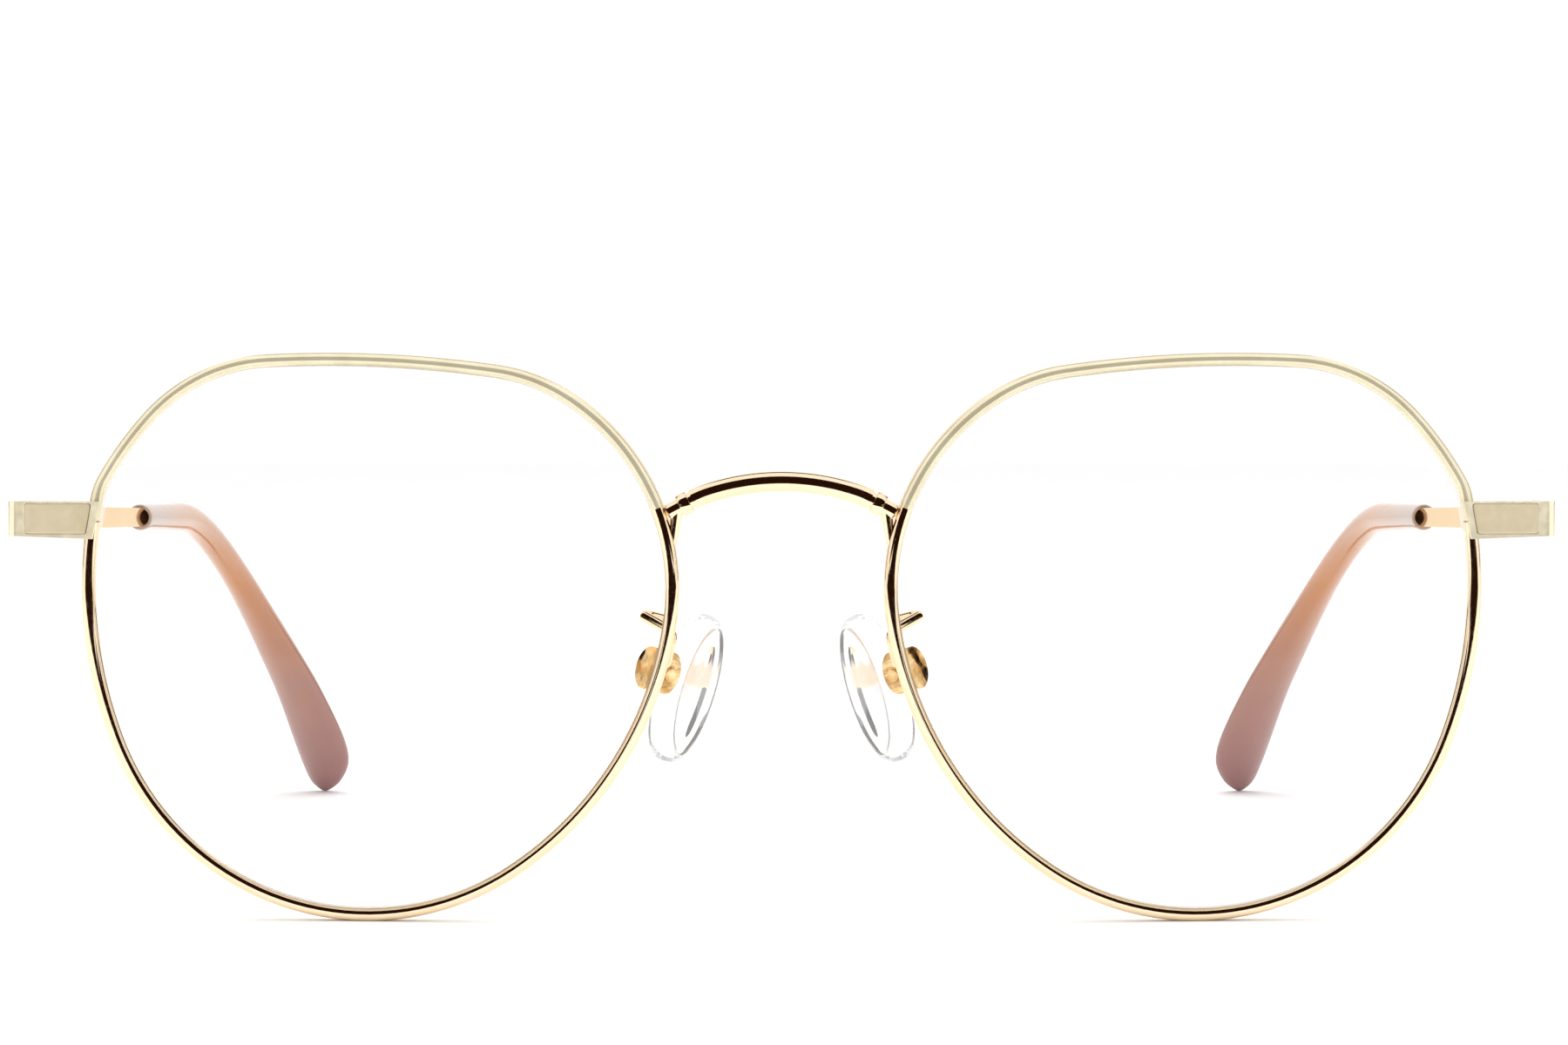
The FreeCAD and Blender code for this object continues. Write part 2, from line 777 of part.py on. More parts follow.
def make_pad_arm(rim, box):
    """Wire soldered up the back of the rim, out behind the lens in a loop, and down to the cup."""
    points = [
        V(-10.45, -1.5, 23.4),
        V(-9.7, -1.5, 26.1),
        V(-12.4, 3.4, 27.3),
        V(-12.4, 6.0, 27.3),
        V(-10.4, 7.9, 26.7),
        pad_point(length=box_radius - 0.35),
    ]
    wire = tube(rounded_path(points, [1.2, 1.3, 1.3, 1.2]), pad_wire_radius)
    toe = Part.makeSphere(pad_wire_radius, points[0])
    arm = fused([wire, toe]).cut(rim).cut(box)
    return largest_solid(arm)


def mirrored(shape):
    return shape.mirror(V(0, 0, 0), V(1, 0, 0))


def make_all():
    """Every node's shape by name, left side and the one bridge."""
    rim = make_rim()
    enamel = make_rim_enamel()
    plate = make_endpiece(rim, enamel)
    pocket = endpiece_field(0.04, 0.5, 0.5 + pocket_depth)
    endpiece = plate.cut(pocket)
    field = largest_solid(endpiece_field(0.0, field_proud, field_thickness).cut(rim).cut(enamel))
    upper, lower, lock_screw = make_rim_lock(rim, endpiece)
    box = make_pad_box()
    insert = make_pad_insert()
    arm = make_temple_arm()
    sided = {
        "rim": rim,
        "rim_enamel": enamel,
        "lens": make_lens(),
        "endpiece": endpiece,
        "endpiece_enamel": field,
        "rim_lock_upper": upper,
        "rim_lock_lower": lower,
        "rim_lock_screw": lock_screw,
        "hinge_front": make_hinge_front(),
        "hinge_screw": make_hinge_screw(),
        "hinge_temple": make_hinge_temple(arm),
        "temple_arm": arm,
        "temple_tip": make_temple_tip(),
        "tip_ring": make_tip_ring(),
        "pad_arm": make_pad_arm(rim, box),
        "pad_box": box,
        "pad_screw": make_pad_screw(),
        "pad_insert": insert,
        "nose_pad": make_nose_pad(insert),
    }
    nodes = {"bridge": make_bridge([rim, mirrored(rim), enamel, mirrored(enamel)])}
    for name, shape in sided.items():
        nodes[name + "_left"] = shape
        nodes[name + "_right"] = mirrored(shape)
    return nodes


os.makedirs("parts", exist_ok=True)
for name, shape in make_all().items():
    shape.translate(V(0, front_y, 0))
    if not shape.isValid():
        print(name, "is not valid")
    if len(shape.Solids) != 1:
        print(name, "has", len(shape.Solids), "solids")
    shape.exportStep("parts/" + name + ".step")
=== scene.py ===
"""Round wire eyeglasses: fine meshes, materials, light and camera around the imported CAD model."""

import json
import math

import bmesh
import bpy
from mathutils import Matrix, Vector

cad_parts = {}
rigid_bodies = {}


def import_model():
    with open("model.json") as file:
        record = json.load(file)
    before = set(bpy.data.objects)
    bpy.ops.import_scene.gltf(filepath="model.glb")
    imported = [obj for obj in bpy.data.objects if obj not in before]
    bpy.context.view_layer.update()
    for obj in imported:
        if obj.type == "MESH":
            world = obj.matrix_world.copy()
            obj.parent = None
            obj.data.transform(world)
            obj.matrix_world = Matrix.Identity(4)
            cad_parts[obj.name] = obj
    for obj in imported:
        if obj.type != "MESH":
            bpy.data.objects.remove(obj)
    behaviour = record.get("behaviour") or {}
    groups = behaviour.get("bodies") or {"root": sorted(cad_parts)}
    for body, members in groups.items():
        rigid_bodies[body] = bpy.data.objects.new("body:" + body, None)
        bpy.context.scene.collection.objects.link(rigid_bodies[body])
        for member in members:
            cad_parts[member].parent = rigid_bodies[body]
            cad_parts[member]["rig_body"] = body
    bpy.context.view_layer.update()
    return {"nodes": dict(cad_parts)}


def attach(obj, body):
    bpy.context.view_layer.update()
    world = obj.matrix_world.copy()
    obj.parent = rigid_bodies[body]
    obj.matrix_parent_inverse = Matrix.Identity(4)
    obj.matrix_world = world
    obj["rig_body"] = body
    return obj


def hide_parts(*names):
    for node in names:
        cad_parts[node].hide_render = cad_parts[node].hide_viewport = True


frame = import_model()

# Lengths below are in millimetres and become metres when a mesh is made. X runs right, Y back, Z up.
MM = 0.001
SIDES = ("left", "right")

# The front's shape, as in the CAD source
FRONT_Y = -65.0
RIMS_APART = 18.2
WRAP_DEG = 4.0
TILT_DEG = 2.0
OUTLINE_START_DEG = -8.0
FREE_ARCS = [
    (20.8, 67.0),  # nose side
    (16.3, 23.0),  # nose corner
    (109.0, 11.0),  # brow
    (16.4, 44.0),  # crown corner
    (32.0, 13.0),  # slope from the crown to the temple
    (6.2, 18.0),  # temple corner
    (40.0, 32.0),  # temple side
]
CLOSING_SWEEPS = [104.0, 48.0]

RIM_WIDTH = 1.15
RIM_HALF_DEPTH = 0.95
RIM_SHOULDER = 0.5
GROOVE_DEPTH = 0.42
GROOVE_HALF_WIDTH = 0.42
# The wire's section is turned most where the outline faces this way, and not at all on the far side
RIM_TWIST_DEG = 20.0
RIM_TWIST_TOWARDS_DEG = 190.0
RIM_TWIST_POWER = 1.5
SPLIT_HALF_DEG = 0.12
ENAMEL_GAP = 0.015
ENAMEL_HEIGHT = 0.12
ENAMEL_SWELL = (0.3, 1.2)  # share of that height at the edges, and what the crest adds to it
ENAMEL_END_FILL = 0.35
ENAMEL_END_RUN = 0.5
ENAMEL_LOW_Z = 37.6
ENAMEL_END_Z = 36.35
HINGE_Z = 36.2

LENS_RADIUS = 130.0
LENS_THICKNESS = 1.5
LENS_SAG = 2.5
LENS_CLEARANCE = 0.05
LENS_CREST_CLEARANCE = 0.04
LENS_EDGE_HALF_WIDTH = 0.38
LENS_EDGE_STEP = 0.2
# Rings of each lens face, as shares of the way from its middle to its edge
LENS_SHARES = [0.03, 0.15, 0.3, 0.45, 0.6, 0.75, 0.88, 0.96, 0.99, 1.0]

BRIDGE_TOP_Z = 39.8
BRIDGE_Y = -2.0
BRIDGE_RADIUS = 0.88
BRIDGE_ARCS = [(21.0, 18.0), (9.0, 10.0)]
COLLAR_RADIUS = 1.0
COLLAR_LENGTH = 0.95
COLLAR_EDGE = 0.07
NECK_RADIUS = 0.72
NECK_LENGTH = 0.33
STUB_LENGTH = 1.3
STUB_CHAMFER = (0.15, 0.2)  # along the bar, and off its radius
BAR_OVERLAP = 0.1  # how far a bar of the bridge starts inside the one before it
FOOT_LENGTH = 3.1
FOOT_TOP_RADIUS = 0.62
FOOT_LOW_RADIUS = 0.3
FOOT_INSET = 0.15

ARM_START = Vector((-69.3, 6.75, 36.2))
TEMPLE_CORNER = Vector((-64.4, 110.9, 33.6))
TEMPLE_END = Vector((-53.6, 134.0, 0.66))
BEND_RADIUS = 50.0
MOUTH_Y = 61.5
SOCKET_RADIUS = 0.94
SOCKET_LENGTH = 7.6
BORE_RADIUS = 0.65
BORE_SHORT_OF_END = 13.9
TIP_TWIST_DEG = 58.0
# (part of the length, half height, half thickness, part of the twist, shift to the head)
TIP_SECTIONS = [
    (0.0, 1.34, 1.28, 0.0, 0.0),
    (0.09, 1.38, 1.28, 0.0, 0.0),
    (0.28, 1.55, 1.36, 0.0, -0.1),
    (0.50, 1.9, 1.52, 0.22, -0.35),
    (0.65, 2.45, 1.65, 0.6, -0.33),
    (0.75, 2.85, 1.7, 0.83, -0.08),
    (0.83, 3.15, 1.7, 0.95, 0.25),
    (0.915, 3.5, 1.7, 1.0, 0.2),
    (0.955, 3.25, 1.55, 1.0, -0.15),
    (0.985, 2.1, 1.1, 1.0, -0.95),
    (1.0, 0.7, 0.4, 1.0, -1.45),
]
# The rounded lip of the mouth, from the socket outwards: (distance, half height, half thickness)
TIP_LIP = [
    (0.1, SOCKET_RADIUS, SOCKET_RADIUS),
    (0.06, SOCKET_RADIUS + 0.04, SOCKET_RADIUS + 0.04),
    (0.0, 1.24, 1.2),
    (0.05, 1.32, 1.26),
]
# Rings close together where the paddle rounds off, as shares of the tip's length
TIP_END_SHARES = [0.915, 0.93, 0.945, 0.957, 0.968, 0.977, 0.985, 0.991, 0.996]
TIP_LAST_RING = (0.6, 0.35)

PAD_PIVOT = Vector((-11.3, 8.2, 22.1))
PAD_LEAN_DEG = 17.3
PAD_SPLAY_DEG = 33.0
PAD_HALF_SIZES = (7.1, 3.9, 1.4)
PAD_ROUNDING = 1.15
PAD_OFFSET = 3.35
PAD_DROP = 0.9
PAD_CROWN = ((PAD_HALF_SIZES[1] - 0.05, 0.0), (2.9, 0.02), (1.9, 0.09))  # (inset, how far below the middle)


# ---------------------------------------------------------------- outline of a rim


def outward(degrees):
    """Direction in the front's plane, counted from +X towards +Z."""
    angle = math.radians(degrees)
    return Vector((math.cos(angle), 0.0, math.sin(angle)))


def closing_radii():
    """Radii of the last two arcs, which bring the outline back to its first point."""
    angle = OUTLINE_START_DEG
    gap = Vector((0.0, 0.0, 0.0))
    for radius, sweep in FREE_ARCS:
        gap -= (outward(angle + sweep) - outward(angle)) * radius
        angle += sweep
    first = outward(angle + CLOSING_SWEEPS[0]) - outward(angle)
    second = outward(angle + sum(CLOSING_SWEEPS)) - outward(angle + CLOSING_SWEEPS[0])
    det = first.x * second.z - first.z * second.x
    radius_a = (gap.x * second.z - gap.z * second.x) / det
    radius_b = (first.x * gap.z - first.z * gap.x) / det
    return [radius_a, radius_b]


def make_outline():
    """Arcs (first angle, last angle, radius, centre) of the left rim's outer edge, at its place."""
    arcs = []
    point = Vector((0.0, 0.0, 0.0))
    angle = OUTLINE_START_DEG
    for radius, sweep in FREE_ARCS + list(zip(closing_radii(), CLOSING_SWEEPS)):
        centre = point - outward(angle) * radius
        arcs.append([angle, angle + sweep, radius, centre])
        angle += sweep
        point = centre + outward(angle) * radius
    nose_most = arcs[0][3].x + arcs[0][2]
    lowest = next(arc[3].z - arc[2] for arc in arcs if arc[0] <= 270.0 <= arc[1])
    for arc in arcs:
        arc[3] = arc[3] + Vector((-RIMS_APART / 2 - nose_most, 0.0, -lowest))
    return arcs


OUTLINE = make_outline()


def outline_point(degrees, inset=0.0):
    """Point of the outline where the outward normal has this angle."""
    within = OUTLINE_START_DEG + (degrees - OUTLINE_START_DEG) % 360.0
    _, _, radius, centre = next(arc for arc in OUTLINE if within <= arc[1] + 1e-6)
    return centre + outward(degrees) * (radius - inset)


def angle_at_height(z, low_deg, high_deg):
    """Normal angle between two limits where the outline passes height z."""
    rising = outline_point(high_deg).z > outline_point(low_deg).z
    for _ in range(50):
        middle = (low_deg + high_deg) / 2
        if (outline_point(middle).z < z) == rising:
            low_deg = middle
        else:
            high_deg = middle
    return (low_deg + high_deg) / 2


RIM_MIDDLE = Vector(((outline_point(0).x + outline_point(180).x) / 2, 0.0, outline_point(90).z / 2))
TO_PLACE = Matrix.Translation((0.0, FRONT_Y, 0.0))
TILTED = TO_PLACE @ Matrix.Rotation(math.radians(TILT_DEG), 4, "X")
LONGEST_STEP = 1.2
WIDEST_STEP_DEG = 3
WRAPPED = (
    TILTED
    @ Matrix.Translation(RIM_MIDDLE)
    @ Matrix.Rotation(math.radians(-WRAP_DEG), 4, "Z")
    @ Matrix.Translation(-RIM_MIDDLE)
)


def stations(first_deg, last_deg):
    """Angles along the outline, with steps kept under a length and under a turn."""
    found = [first_deg]
    for start, end, radius, _ in OUTLINE + [[s + 360, e + 360, r, c] for s, e, r, c in OUTLINE]:
        low = max(start, first_deg)
        high = min(end, last_deg)
        if high - low < 1e-6:
            continue
        length = math.radians(high - low) * radius
        steps = max(math.ceil(length / LONGEST_STEP), math.ceil((high - low) / WIDEST_STEP_DEG))
        found += [low + (high - low) * (i + 1) / steps for i in range(steps)]
    return found


# ---------------------------------------------------------------- meshes

TO_OTHER_SIDE = Matrix.Scale(-1.0, 4, (1.0, 0.0, 0.0))
CIRCLE_COUNT = 32
CROWN_COUNT = 20
TIP_RING_COUNT = 48
PAD_RING_COUNT = 72


def loft(rings, closed=False):
    """Quads between rings of points. An open loft gets a fan at each end."""
    count = len(rings[0])
    points = [point for ring in rings for point in ring]
    faces = []
    for i in range(len(rings) if closed else len(rings) - 1):
        here = i * count
        there = (i + 1) % len(rings) * count
        for k in range(count):
            m = (k + 1) % count
            faces.append((here + k, here + m, there + m, there + k))
    if not closed:
        for start in (0, (len(rings) - 1) * count):
            points.append(sum((points[start + k] for k in range(count)), Vector()) / count)
            for k in range(count):
                faces.append((start + k, start + (k + 1) % count, len(points) - 1))
    return points, faces


def new_mesh(name, parts, place, sharp_deg=40.0):
    """One mesh from lofts in millimetres, moved by place and shaded smooth between its sharp edges."""
    mesh = bpy.data.meshes.new(name)
    bm = bmesh.new()
    for points, faces in parts:
        made = [bm.verts.new(place @ point * MM) for point in points]
        for face in faces:
            bm.faces.new([made[i] for i in face])
    bmesh.ops.recalc_face_normals(bm, faces=bm.faces)
    bm.to_mesh(mesh)
    bm.free()
    smooth(mesh, sharp_deg)
    return mesh


def smooth(mesh, sharp_deg):
    """Smooth shading, broken at edges sharper than this angle."""
    mesh.polygons.foreach_set("use_smooth", [True] * len(mesh.polygons))
    mesh.set_sharp_from_angle(angle=math.radians(sharp_deg))


def mirrored(mesh):
    """Copy of a mesh on the other side of the plane X = 0."""
    copy = mesh.copy()
    copy.transform(TO_OTHER_SIDE)
    copy.flip_normals()
    return copy


def circle(centre, along, radius):
    """Ring of points square to a direction."""
    across = along.cross(Vector((0.0, 1.0, 0.0))).normalized()
    other = across.cross(along).normalized()
    ring = []
    for k in range(CIRCLE_COUNT):
        angle = 2 * math.pi * k / CIRCLE_COUNT
        ring.append(centre + across * (radius * math.cos(angle)) + other * (radius * math.sin(angle)))
    return ring


def turned_bar(start, along, steps):
    """Round bar along one direction; steps are (distance, radius)."""
    return loft([circle(start + along * distance, along, radius) for distance, radius in steps])


def crown(half_width, edge, crest):
    """Points (across, forward) of an arc over a strip from one edge to the other."""
    rise = crest - edge
    radius = (half_width**2 + rise**2) / (2 * rise)
    limit = math.asin(half_width / radius)
    points = []
    for i in range(CROWN_COUNT + 1):
        angle = limit * (1 - 2 * i / CROWN_COUNT)
        points.append((radius * math.sin(angle), crest - radius + radius * math.cos(angle)))
    return points


def section_ring(degrees, section, twist_deg):
    """A section (inset, y) at one station of the outline, turned a little about its own middle."""
    cos, sin = math.cos(math.radians(twist_deg)), math.sin(math.radians(twist_deg))
    middle = RIM_WIDTH / 2
    ring = []
    for inset, y in section:
        across = inset - middle
        turned = across * cos - y * sin
        ring.append(outline_point(degrees, middle + turned) + Vector((0.0, y * cos + across * sin, 0.0)))
    return ring


def rim_twist(degrees):
    """The wire's crest looks a little inwards at the temple side and not at the nose side."""
    share = max(0.0, math.cos(math.radians(degrees - RIM_TWIST_TOWARDS_DEG)))
    return RIM_TWIST_DEG * share**RIM_TWIST_POWER


def make_rim():
    """Eyewire: crowned front and back, V groove inside, split at the hinge's height."""
    middle = RIM_WIDTH / 2
    arc = crown(middle, RIM_SHOULDER, RIM_HALF_DEPTH)
    section = [(middle + across, -forward) for across, forward in arc]
    section += [(middle - across, forward) for across, forward in arc]
    section += [
        (RIM_WIDTH, GROOVE_HALF_WIDTH),
        (RIM_WIDTH - GROOVE_DEPTH, 0.0),
        (RIM_WIDTH, -GROOVE_HALF_WIDTH),
    ]
    split = angle_at_height(HINGE_Z, 150.0, 185.0)
    angles = stations(split + SPLIT_HALF_DEG, split + 360 - SPLIT_HALF_DEG)
    rings = [section_ring(angle, section, rim_twist(angle)) for angle in angles]
    return new_mesh("rim", [loft(rings)], WRAPPED)


def make_rim_enamel():
    """Poured enamel on the upper half, with rounded shoulders and rounded ends."""
    middle = RIM_WIDTH / 2
    base = crown(middle, RIM_SHOULDER + ENAMEL_GAP, RIM_HALF_DEPTH + ENAMEL_GAP)
    first = angle_at_height(ENAMEL_LOW_Z, 0.0, 60.0)
    last = angle_at_height(ENAMEL_END_Z, 150.0, 185.0)
    angles = stations(first, last)
    rings = []
    for angle in angles:
        from_end = min((outline_point(angle) - outline_point(end)).length for end in (first, last))
        fill = min(1.0, ENAMEL_END_FILL + from_end / ENAMEL_END_RUN)
        section = []
        for across, forward in base:
            swell = ENAMEL_SWELL[0] + ENAMEL_SWELL[1] * (1.0 - (across / middle) ** 2)
            section.append((middle + across, -forward - ENAMEL_HEIGHT * fill * swell))
        section += [(middle + across, -forward) for across, forward in reversed(base)]
        rings.append(section_ring(angle, section, rim_twist(angle)))
    return new_mesh("rim_enamel", [loft(rings)], WRAPPED)


def make_lens():
    """Domed lens with a ground V edge. The edge's faces get the second material."""
    edge_inset = RIM_WIDTH + LENS_CLEARANCE
    centre_y = LENS_RADIUS - LENS_SAG - LENS_THICKNESS / 2
    back_radius = LENS_RADIUS - LENS_THICKNESS
    angles = stations(OUTLINE_START_DEG, OUTLINE_START_DEG + 360)[:-1]

    def face_point(angle, share, radius):
        point = RIM_MIDDLE + (outline_point(angle, edge_inset) - RIM_MIDDLE) * share
        reach = (point - RIM_MIDDLE).length
        return Vector((point.x, centre_y - math.sqrt(radius**2 - reach**2), point.z))

    def face_ring(share, radius):
        return [face_point(angle, share, radius) for angle in angles]

    def edge_ring(inset, offset):
        ring = []
        for angle in angles:
            front = face_point(angle, 1.0, LENS_RADIUS).y + LENS_CLEARANCE
            back = face_point(angle, 1.0, back_radius).y - LENS_CLEARANCE
            crest = max(front + LENS_EDGE_STEP, min(back - LENS_EDGE_STEP, 0.0))
            y = max(front, min(back, crest + offset))
            ring.append(outline_point(angle, inset) + Vector((0.0, y, 0.0)))
        return ring

    rings = [face_ring(share, LENS_RADIUS) for share in LENS_SHARES]
    rings += [
        edge_ring(edge_inset, -LENS_EDGE_HALF_WIDTH),
        edge_ring(RIM_WIDTH - GROOVE_DEPTH + LENS_CREST_CLEARANCE, 0.0),
        edge_ring(edge_inset, LENS_EDGE_HALF_WIDTH),
    ]
    rings += [face_ring(share, back_radius) for share in reversed(LENS_SHARES)]
    mesh = new_mesh("lens", [loft(rings)], WRAPPED, 35.0)
    count = len(angles)
    first_edge = (len(LENS_SHARES) - 1) * count
    for polygon in mesh.polygons[first_edge : first_edge + 4 * count]:
        polygon.material_index = 1
    return mesh


def make_bridge():
    """Arched round bar. Beyond each end of the arch are a neck, a collar and a tapered foot down the rim."""
    point = Vector((0.0, BRIDGE_Y, BRIDGE_TOP_Z))
    angle = 90.0
    arch = [circle(point, outward(angle + 90.0), BRIDGE_RADIUS)]
    for radius, sweep in BRIDGE_ARCS:
        centre = point - outward(angle) * radius
        for i in range(12):
            here = angle + sweep * (i + 1) / 12
            arch.append(circle(centre + outward(here) * radius, outward(here + 90.0), BRIDGE_RADIUS))
        angle += sweep
        point = centre + outward(angle) * radius
    along = outward(angle + 90.0)
    other_half = [[TO_OTHER_SIDE @ p for p in ring] for ring in reversed(arch[1:])]
    arch = other_half + arch
    neck = turned_bar(point, along, [(-BAR_OVERLAP, NECK_RADIUS), (NECK_LENGTH, NECK_RADIUS)])
    edge = COLLAR_EDGE
    collar_start = point + along * NECK_LENGTH
    collar = turned_bar(
        collar_start,
        along,
        [
            (0.0, COLLAR_RADIUS - edge),
            (edge * 0.3, COLLAR_RADIUS - edge * 0.3),
            (edge, COLLAR_RADIUS),
            (COLLAR_LENGTH - edge, COLLAR_RADIUS),
            (COLLAR_LENGTH - edge * 0.3, COLLAR_RADIUS - edge * 0.3),
            (COLLAR_LENGTH, COLLAR_RADIUS - edge),
        ],
    )
    stub_start = collar_start + along * COLLAR_LENGTH
    stub = turned_bar(
        stub_start,
        along,
        [
            (-BAR_OVERLAP, NECK_RADIUS),
            (STUB_LENGTH - STUB_CHAMFER[0], NECK_RADIUS),
            (STUB_LENGTH, NECK_RADIUS - STUB_CHAMFER[1]),
        ],
    )
    top = stub_start + along * NECK_LENGTH
    low_angle = angle_at_height(top.z - FOOT_LENGTH, 0.0, 60.0)
    foot = []
    wide, narrow = FOOT_TOP_RADIUS, FOOT_LOW_RADIUS
    low = outline_point(low_angle, FOOT_INSET) + Vector((0.0, BRIDGE_Y, 0.0))
    down = (low - top).normalized()
    length = (low - top).length
    for i in range(5):
        bulge = math.radians(90 - 18 * i)
        foot.append(circle(top - down * (wide * math.sin(bulge)), down, max(0.02, wide * math.cos(bulge))))
    for i in range(9):
        share = i / 8
        foot.append(circle(top + down * (length * share), down, wide + (narrow - wide) * share))
    for i in range(1, 5):
        bulge = math.radians(20 * i)
        foot.append(circle(low + down * (narrow * math.sin(bulge)), down, narrow * math.cos(bulge)))
    half = [neck, collar, stub, loft(foot)]
    other = [
        ([TO_OTHER_SIDE @ p for p in points], [tuple(reversed(face)) for face in faces])
        for points, faces in half
    ]
    return new_mesh("bridge", [loft(arch)] + half + other, TILTED)


ARM_DIRECTION = (TEMPLE_CORNER - ARM_START).normalized()
BACK_DIRECTION = (TEMPLE_END - TEMPLE_CORNER).normalized()
MOUTH = (MOUTH_Y - ARM_START.y) / ARM_DIRECTION.y
TURN = ARM_DIRECTION.angle(BACK_DIRECTION)
REACH = BEND_RADIUS * math.tan(TURN / 2)
MOUTH_POINT = ARM_START + ARM_DIRECTION * MOUTH
FIRST_RUN = (TEMPLE_CORNER - MOUTH_POINT).length - REACH
LAST_RUN = (TEMPLE_END - TEMPLE_CORNER).length - REACH
TIP_LENGTH = FIRST_RUN + TURN * BEND_RADIUS + LAST_RUN
BEND_AXIS = ARM_DIRECTION.cross(BACK_DIRECTION).normalized()
TO_BEND_CENTRE = BEND_AXIS.cross(ARM_DIRECTION)
INWARDS = BEND_AXIS if BEND_AXIS.x > 0 else -BEND_AXIS


def temple_point(distance):
    """Point and direction on the temple's centre line, at a distance from the tip's mouth."""
    if distance <= FIRST_RUN:
        return MOUTH_POINT + ARM_DIRECTION * distance, ARM_DIRECTION
    angle = min((distance - FIRST_RUN) / BEND_RADIUS, TURN)
    ahead = ARM_DIRECTION * math.cos(angle) + TO_BEND_CENTRE * math.sin(angle)
    sideways = TO_BEND_CENTRE * (1 - math.cos(angle)) + ARM_DIRECTION * math.sin(angle)
    straight_on = distance - FIRST_RUN - angle * BEND_RADIUS
    bend_start = TEMPLE_CORNER - ARM_DIRECTION * REACH
    return bend_start + sideways * BEND_RADIUS + ahead * straight_on, ahead


def eased(values, share, column):
    """Smooth value between the rows of a table whose first column is the share."""
    shares = [row[0] for row in values]
    i = max(0, min(len(shares) - 2, next((k for k, s in enumerate(shares) if s > share), len(shares)) - 1))

    def slope(k):
        low, high = max(0, k - 1), min(len(shares) - 1, k + 1)
        return (values[high][column] - values[low][column]) / (shares[high] - shares[low])

    step = shares[i + 1] - shares[i]
    t = (share - shares[i]) / step
    a, b = values[i][column], values[i + 1][column]
    h = t * t * (3 - 2 * t)
    curve = slope(i) * step * t * (1 - t) ** 2 - slope(i + 1) * step * t * t * (1 - t)
    return a + (b - a) * h + curve


def tip_ring_points(distance, half_tall, half_thick, twist, shift):
    """Oval ring round the temple's centre line, turned by twist and moved towards the head by shift."""
    point, ahead = temple_point(distance)
    point = point + INWARDS * shift
    tall = ahead.cross(INWARDS).normalized()
    cos, sin = math.cos(twist), math.sin(twist)
    long_axis = tall * cos + INWARDS * sin
    short_axis = INWARDS * cos - tall * sin
    ring = []
    for k in range(TIP_RING_COUNT):
        angle = 2 * math.pi * k / TIP_RING_COUNT
        up_and_down = long_axis * (half_tall * math.cos(angle))
        ring.append(point + up_and_down + short_axis * (half_thick * math.sin(angle)))
    return ring


def make_temple_tip():
    """Slim collar that swells into a flat paddle, hollow for the temple's end."""
    rings = []
    shares = []

    def add(distance, half_tall, half_thick, twist=0.0, shift=0.0):
        rings.append(tip_ring_points(distance, half_tall, half_thick, twist, shift))
        shares.append(distance / TIP_LENGTH)

    bore_end = TIP_LENGTH - BORE_SHORT_OF_END
    for i in range(30):
        add(bore_end - (bore_end - SOCKET_LENGTH) * i / 29, BORE_RADIUS, BORE_RADIUS)
    add(SOCKET_LENGTH, SOCKET_RADIUS, SOCKET_RADIUS)
    for distance, half_tall, half_thick in TIP_LIP:
        add(distance, half_tall, half_thick)
    for share in [0.003 + 0.9 * i / 59 for i in range(60)] + TIP_END_SHARES:
        tall = eased(TIP_SECTIONS, share, 1)
        thick = eased(TIP_SECTIONS, share, 2)
        twist = math.radians(TIP_TWIST_DEG) * eased(TIP_SECTIONS, share, 3)
        add(share * TIP_LENGTH, tall, thick, twist, eased(TIP_SECTIONS, share, 4))
    add(TIP_LENGTH, *TIP_LAST_RING, math.radians(TIP_TWIST_DEG), TIP_SECTIONS[-1][4])
    mesh = new_mesh("temple_tip", [loft(rings)], TO_PLACE)
    along = mesh.attributes.new("along", "FLOAT", "POINT")
    values = [share for share in shares for _ in range(len(rings[0]))] + [shares[0], 1.0]
    along.data.foreach_set("value", values)
    return mesh


def pad_axes():
    """Pad's directions: up its length, across its width, and towards the nose."""
    lean = math.tan(math.radians(PAD_LEAN_DEG))
    cos, sin = math.cos(math.radians(PAD_SPLAY_DEG)), math.sin(math.radians(PAD_SPLAY_DEG))
    nose = Vector((cos, sin, -cos * lean)).normalized()
    length = Vector((lean, 0.0, 1.0)).normalized()
    return length, -length.cross(nose).normalized(), nose


def make_nose_pad():
    """Soft oval cushion: slightly domed faces and a full round edge."""
    length, width, nose = pad_axes()
    centre = PAD_PIVOT + length * -PAD_DROP + nose * PAD_OFFSET
    half_length, half_width, half_nose = PAD_HALF_SIZES
    profile = [(inset, half_nose - dome) for inset, dome in PAD_CROWN]
    for i in range(10):
        angle = math.radians(90 - 20 * i)
        inset = PAD_ROUNDING * (1 - math.cos(angle))
        side = 1 if angle > 0 else -1
        profile.append((inset, (half_nose - PAD_ROUNDING - 0.04) * side + PAD_ROUNDING * math.sin(angle)))
    profile += [(inset, dome - half_nose) for inset, dome in reversed(PAD_CROWN)]
    rings = []
    for inset, height in profile:
        ring = []
        for k in range(PAD_RING_COUNT):
            angle = 2 * math.pi * k / PAD_RING_COUNT
            along = length * ((half_length - inset) * math.cos(angle))
            ring.append(centre + along + width * ((half_width - inset) * math.sin(angle)) + nose * height)
        rings.append(ring)
    return new_mesh("nose_pad", [loft(rings)], TO_PLACE)


